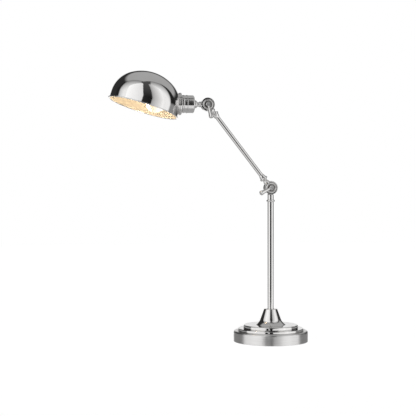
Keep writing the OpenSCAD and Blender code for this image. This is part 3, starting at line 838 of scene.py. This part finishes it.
# %% [markdown]
# ## The bulb
# The bulb is a small opal globe on a screw cap. Its neck swells smoothly into the globe. The glass
# is lit from inside, so the finish is a warm emission that is strongest where the filament is, a
# little behind the globe's centre.

# %% Bulb glass
low, top, globe = measured("bulb_glass", HEAD, OUT)
NECK_R, GLASS = 12.4, 0.8
centre = top - globe
swell = [(NECK_R, low), (NECK_R, low + 8), (NECK_R + 0.7, low + 16), (NECK_R + 2.6, low + 23)]
skin = swell + arc(0, centre, globe, -38, 90, 24)[:-1] + [(0, top)]
hollow = [(0, top - GLASS)] + arc(0, centre, globe - GLASS, 90, -38, 24)[1:]
hollow += [(r - GLASS, h) for r, h in reversed(swell)]
glass = stand(turned("opal_bulb_glass", skin + hollow, steps=96, edge=0), HEAD, OUT)


FILAMENT = HEAD + OUT * (centre - 7) * MM


# %% Lit opal glass
def opal_finish():
    finish = Finish("lit_opal_glass", Roughness=0.32, IOR=1.5, Emission_Strength=1.6)
    position, (x, y, z) = finish.place(FILAMENT)
    frost = finish.noise(position, 260.0, detail=3.0)
    away = (x * x + y * y + z * z) ** 0.5
    hot = 1 - away.between((globe - 3) * MM, (globe + 4) * MM)
    finish.set(Base_Color=finish.mix(frost, (0.42, 0.41, 0.39, 1), (0.48, 0.47, 0.45, 1)))
    finish.set(Emission_Color=finish.mix(hot, (0.46, 0.36, 0.22, 1), (1.0, 0.95, 0.86, 1)))
    finish.bump(frost, 0.05, 0.0001)
    return finish.material


hand_over(glass, "bulb_glass", opal_finish())


# %% [markdown]
# ## The pieces kept from CAD
# Screws, nuts and the key are already the right shape. A CAD mesh is loose triangles, which shade
# flat, so each one that shows is copied, merged and smoothed, and the copy stands for the node.

# %% Smoothed copies of small fittings
def smoothed_copy(node, material):
    source = frame["nodes"][node]
    piece = source.copy()
    piece.data = source.data.copy()
    for key in list(piece.keys()):
        del piece[key]
    bpy.context.scene.collection.objects.link(piece)
    piece.parent = None
    piece.name = piece.data.name = "fitting_" + node
    chosen(piece)
    bpy.ops.object.mode_set(mode="EDIT")
    bpy.ops.mesh.select_all(action="SELECT")
    bpy.ops.mesh.remove_doubles(threshold=MM / 1000)
    bpy.ops.mesh.dissolve_limited(angle_limit=math.radians(0.5))
    bpy.ops.object.mode_set(mode="OBJECT")
    softened(piece, 0)
    hand_over(piece, node, material)


# %% [markdown]
# ## Hidden finishes
# The pieces inside never meet the camera in the portrait, but they are real: cast iron with a
# sandy skin, turned brass, zinc-plated steel, felt, rubber, fibre, board and glazed porcelain. One
# function makes them all from a few words: two colours, how rough, how metallic, and the grain.

# %% A mottled finish
def mottled(name, first, second, roughness, metallic, scale, depth):
    finish = Finish(name, Metallic=metallic)
    position, _ = finish.place()
    grain = finish.noise(position, scale, detail=5.0, roughness=0.6)
    cloud = finish.noise(position, scale / 12, detail=2.0)
    blend = (grain * 0.6 + cloud * 0.4).between(0.35, 0.65)
    finish.set(Base_Color=finish.mix(blend, first + (1,), second + (1,)))
    finish.set(Roughness=roughness + (blend - 0.5) * 0.12)
    finish.bump(grain, depth, 0.0003)
    return finish.material


PLAIN = {
    "felt": ("wool_felt", (0.030, 0.032, 0.034), (0.062, 0.064, 0.066), 0.95, 0.0, 900, 0.7),
    "cast_weight": ("cast_iron", (0.10, 0.10, 0.105), (0.19, 0.185, 0.18), 0.62, 0.8, 420, 0.6),
    "zinc_steel": ("zinc_plate", (0.62, 0.63, 0.65), (0.74, 0.74, 0.73), 0.26, 1.0, 500, 0.08),
    "brass": ("turned_brass", (0.72, 0.52, 0.22), (0.84, 0.64, 0.32), 0.24, 1.0, 380, 0.1),
    "black_rubber": ("black_rubber", (0.018, 0.018, 0.018), (0.040, 0.040, 0.040), 0.68, 0.0, 700, 0.3),
    "wire_sleeve": ("wire_sleeve", (0.020, 0.020, 0.022), (0.045, 0.045, 0.048), 0.48, 0.0, 600, 0.1),
    "fibre": ("pressed_fibre", (0.12, 0.09, 0.06), (0.22, 0.16, 0.11), 0.82, 0.0, 800, 0.5),
    "liner": ("insulating_board", (0.58, 0.50, 0.34), (0.74, 0.67, 0.50), 0.85, 0.0, 500, 0.4),
    "porcelain": ("glazed_porcelain", (0.83, 0.81, 0.76), (0.90, 0.89, 0.85), 0.16, 0.0, 120, 0.05),
    "cap_insulator": ("black_glass", (0.010, 0.010, 0.012), (0.030, 0.028, 0.034), 0.12, 0.0, 200, 0.05),
}
FINISHES = {slot: mottled(*words) for slot, words in PLAIN.items()}
FINISHES["polished_nickel"] = polished
FITTINGS = ("switch_key", "elbow_nut", "head_nut", "elbow_screw", "head_screw", "cord_grommet",
            "bulb_cap", "bulb_tip", "screw_shell", "socket_body", "terminal_screws", "centre_contact")
for node in FITTINGS:
    smoothed_copy(node, FINISHES[SLOT_OF[node]])

# %% Dress what is left
stood_for = {node for piece in bpy.context.scene.objects for node in piece.get("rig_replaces", [])}
left = [node for node in frame["nodes"] if node not in stood_for]
for node in left:
    part = frame["nodes"][node]
    part.data.materials.clear()
    part.data.materials.append(FINISHES[SLOT_OF[node]])
print("CAD nodes dressed:", len(left), left)

# %% [markdown]
# ## The camera
# The portrait is taken from the height of the stem's middle, a little round to the shade's side,
# with a long lens, so the lamp shows almost no perspective. The lamp stands right of the middle.

# %% Camera
CAMERA_TURN = math.radians(-10.5)
CAMERA_AWAY, CAMERA_HEIGHT, CAMERA_ASIDE, LENS = 2.247, 0.320, -0.1506, 80.83
ahead = Vector((-math.sin(CAMERA_TURN), math.cos(CAMERA_TURN), 0))
right = Vector((math.cos(CAMERA_TURN), math.sin(CAMERA_TURN), 0))
bpy.ops.object.select_all(action="DESELECT")
bpy.ops.object.camera_add(location=right * CAMERA_ASIDE - ahead * CAMERA_AWAY + UP * CAMERA_HEIGHT)
camera = bpy.context.object
camera.rotation_euler = (math.radians(90), 0, CAMERA_TURN)
camera.data.lens = LENS
camera.data.sensor_width = 36
camera.data.clip_end = 50
bpy.context.scene.camera = camera
print("camera at", [round(v, 3) for v in camera.location])

# %% [markdown]
# ## The studio
# Polished metal shows its surroundings and little else, so the studio is built for what the lamp
# sees. White screens stand in front in three rows, left and right, with a dark slot between them
# where the camera stands. The slot is wide at the stem's height and narrower above and below it.
# The camera sees neither the screens nor the sky behind, only plain white.

# %% Floor
bpy.ops.mesh.primitive_plane_add(size=12)
floor = bpy.context.object
floor.name = "floor"
floor_finish = Finish("pale_floor", Base_Color=grey(0.5), Roughness=1.0, Emission_Color=grey(1.0),
                      Emission_Strength=0.9)
floor.data.materials.append(floor_finish.material)
floor.visible_glossy = False
floor.visible_diffuse = False
floor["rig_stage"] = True

# %% White screens
SCREEN_AWAY, SCREEN_WIDE = 1.7, 2.9
SCREEN_FOOT, LOW_SPLIT, HIGH_SPLIT, SCREEN_TOP = -2.5, -0.10, 0.38, 3.9


def screen(name, inner, width, heights, inner_light, outer_light):
    """A glowing upright screen the camera doesn't see. It stretches from its inner edge by width."""
    bpy.ops.object.select_all(action="DESELECT")
    bpy.ops.mesh.primitive_plane_add(size=1)
    card = bpy.context.object
    card.name = name
    card.scale = (abs(width), heights[1] - heights[0], 1)
    card.rotation_euler = (math.radians(90), 0, CAMERA_TURN)
    card.location = right * (inner + width / 2) - ahead * SCREEN_AWAY + UP * sum(heights) / 2
    glowing = Finish(name, Base_Color=grey(0.0), Specular_IOR_Level=0.0, Emission_Strength=1.0)
    _, parts = glowing.place()
    outwards = (parts[0] * math.copysign(1, width) + 0.5) ** 0.5
    glowing.set(Emission_Color=glowing.mix(outwards, grey(inner_light), grey(outer_light)))
    card.data.materials.append(glowing.material)
    card.visible_camera = card.visible_diffuse = card.visible_shadow = False
    card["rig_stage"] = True
    print(name, "from", round(inner, 2), "to", round(inner + width, 2), "m aside")


low = (SCREEN_FOOT, LOW_SPLIT)
middle = (LOW_SPLIT, HIGH_SPLIT)
high = (HIGH_SPLIT, SCREEN_TOP)
screen("high_left_screen", -0.35, -SCREEN_WIDE, high, 0.80, 1.20)
screen("high_right_screen", 0.54, SCREEN_WIDE, high, 0.30, 1.10)
screen("middle_left_screen", -0.90, -SCREEN_WIDE, middle, 1.0, 1.1)
screen("middle_right_screen", 0.90, SCREEN_WIDE, middle, 0.8, 1.1)
screen("low_left_screen", -0.68, -SCREEN_WIDE, low, 0.85, 1.0)
screen("low_right_screen", 0.13, SCREEN_WIDE, low, 0.70, 1.15)
screen("low_strip_screen", -0.36, 0.16, low, 0.7, 0.7)

# %% [markdown]
# Behind and above the screens the sky is calculated from its direction alone: how far it points
# towards the camera, aside and up. It starts with those three numbers and the angle round.


# %% Sky
class Sky(Finish):
    """The world's node tree, calculated in the same way as a finish."""

    def __init__(self):
        self.world = bpy.data.worlds.new("studio")
        self.world.use_nodes = True
        bpy.context.scene.world = self.world
        self.tree = self.world.node_tree

    def absolute(self, value):
        return self.add("Math", {"operation": "ABSOLUTE"}, [value])


sky = Sky()
direction = sky.add("TexCoord", {}, {}, output="Generated")
towards, aside = [
    sky.add("VectorMath", {"operation": "DOT_PRODUCT"}, [direction, tuple(way)], output="Value")
    for way in (-ahead, right)]
height = sky.add("SeparateXYZ", {}, {"Vector": direction}, output="Z")
angle = sky.add("Math", {"operation": "ARCTAN2"}, [aside, towards]) * (180 / math.pi)
around = sky.absolute(angle)
print("the sky has", len(sky.tree.nodes), "nodes so far")

# %% [markdown]
# In front the sky carries the screens' light on, brighter towards the camera, with the same dark
# slot. High up the slot keeps one width on a round mirror, so there it is measured half way
# between a direction and the camera's. Its light is 1 for plain white.

# %% Front of the sky
half_way = aside / (((1 + towards) / 2 + 0.0001) ** 0.5 * 2)
narrow_slot = half_way.between(-0.06, -0.035) * (1 - half_way.between(0.18, 0.20))
wide_slot = 1 - around.between(36, 42)
tall = height.between(0.62, 0.72)
slot = wide_slot * (1 - tall) + narrow_slot * tall
slot_light = 0.010 + 0.07 * height.between(0.1, 0.95)
edge = towards + 0.55 * sky.absolute(aside) - 0.30 * height
panel_light = 0.20 + 0.80 * edge.between(0.0, 0.6)
front_light = slot * slot_light + (1 - slot) * panel_light

# %% [markdown]
# Dark flags stand at the sides. A grey sheet hangs over and behind the lamp, and its front edge is
# a V: it is dark low down, grey overhead, and lower on the right than on the left. Low behind the
# lamp the wall is white, and towards the ground everything is a soft grey.

# %% Sides, back and ground
flag = around.between(93, 98)
flag_light = 0.018 + 0.26 * (1 - height.between(-0.1, 0.0))
sheet = 1 - edge.between(-0.03, 0.03)
white_wall = around.between(160, 168) * (1 - height.between(0.25, 0.40))
ceiling = (height + 0.35 * aside).between(0.52, 0.64)
ground = 1 - height.between(-0.12, -0.02)
sheet_light = 0.03 + white_wall * 0.80 + ceiling * 0.39 + ground * 0.30
light = (1 - sheet) * ((1 - flag) * front_light + flag * flag_light) + sheet * sheet_light
under = height.between(-0.45, -0.25)
light = light * under + (1 - under) * 0.42

# %% [markdown]
# The camera itself sees plain white, and dull surfaces get less of the sky than mirrors do.

# %% What each ray sees
PLAIN_WHITE, DULLED = 1.0, 0.6
seen = sky.add("LightPath", {}, {}, output="Is Camera Ray")
soft = sky.add("LightPath", {}, {}, output="Is Diffuse Ray")
mirrored = light * (1 - DULLED * soft)
shown = sky.add("Mix", {"data_type": "FLOAT"}, {0: seen, 2: mirrored, 3: PLAIN_WHITE})
background = sky.tree.nodes["Background"]
sky.feed(background.inputs["Strength"], shown)
sky.feed(background.inputs["Color"], grey(1.0))
print("the whole sky has", len(sky.tree.nodes), "nodes")

# %% [markdown]
# The bulb's glow is helped by a small warm lamp inside the dome, so that the enamel is lit evenly
# without waiting for the glass to be sampled. It rides with the socket and the shade.

# %% Glow
bpy.ops.object.light_add(type="POINT", location=HEAD + OUT * 0.150 - UP * 0.014)
glow = bpy.context.object
glow.data.energy = 0.165
glow.data.color = (1.0, 0.83, 0.62)
glow.data.shadow_soft_size = 0.012
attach(glow, "lamp_head")
bpy.context.scene.view_settings.view_transform = "Standard"
print("glow of", round(glow.data.energy, 3), "W at", [round(v, 3) for v in glow.matrix_world.translation])

# %% [markdown]
# The new pieces must fill the same box as the CAD model, so the script prints how far the scene's box has
# grown past the CAD box.

# %% Compare the boxes
shown_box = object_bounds()
corners = [(a, b) for cad, shown in zip(cad_box, shown_box) for a, b in zip(cad, shown)]
print("grown by, in mm:", [round((b - a) / MM, 2) for a, b in corners])
